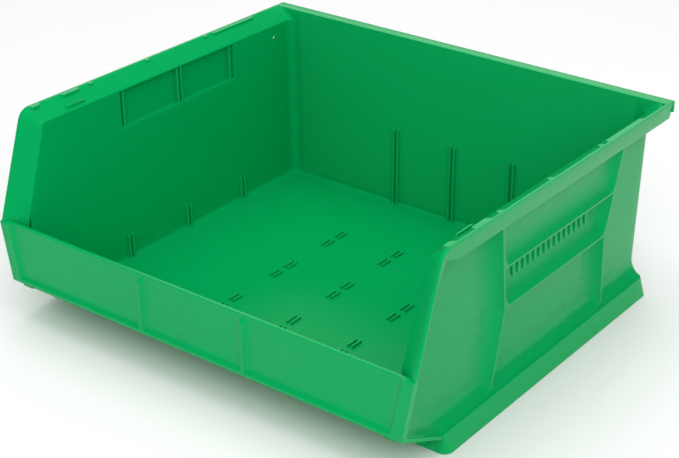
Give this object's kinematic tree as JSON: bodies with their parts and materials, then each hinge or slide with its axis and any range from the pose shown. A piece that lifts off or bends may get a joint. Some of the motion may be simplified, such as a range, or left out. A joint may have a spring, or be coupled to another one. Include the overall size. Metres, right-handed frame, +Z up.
{
  "type": "hopper-front storage bin",
  "caption": "Open-top plastic storage bin with a low hopper front, flared rim, rear hanging lip, side finger ledges, divider guides and runners for stacking.",
  "frame": {"origin": "on the ground under the middle of the bin", "axes": "+X to the right seen from the hopper front, +Y to the rear hanging lip, +Z up"},
  "size_m": [0.419, 0.3746, 0.1778],
  "materials": {
    "green_polypropylene": "satin moulded polypropylene"
  },
  "bodies": {
    "root": {"floor_panel": "green_polypropylene", "front_foot_bar": "green_polypropylene", "front_rib_left": "green_polypropylene", "front_rib_right": "green_polypropylene", "front_toe_panel": "green_polypropylene", "front_wall": "green_polypropylene", "left_base_runner": "green_polypropylene", "left_front_corner": "green_polypropylene", "left_front_rib": "green_polypropylene", "left_front_stop": "green_polypropylene", "left_grip_panel": "green_polypropylene", "left_hopper_flange": "green_polypropylene", "left_lower_finger_ledge": "green_polypropylene", "left_rear_rib": "green_polypropylene", "left_rear_stop": "green_polypropylene", "left_rim_flange": "green_polypropylene", "left_side_wall": "green_polypropylene", "left_upper_finger_ledge": "green_polypropylene", "rear_guide_centre": "green_polypropylene", "rear_guide_left": "green_polypropylene", "rear_guide_right": "green_polypropylene", "rear_hanging_lip": "green_polypropylene", "rear_wall": "green_polypropylene", "right_base_runner": "green_polypropylene", "right_front_corner": "green_polypropylene", "right_front_rib": "green_polypropylene", "right_front_stop": "green_polypropylene", "right_grip_panel": "green_polypropylene", "right_hopper_flange": "green_polypropylene", "right_lower_finger_ledge": "green_polypropylene", "right_rear_rib": "green_polypropylene", "right_rear_stop": "green_polypropylene", "right_rim_flange": "green_polypropylene", "right_side_wall": "green_polypropylene", "right_upper_finger_ledge": "green_polypropylene"}
  },
  "joints": []
}
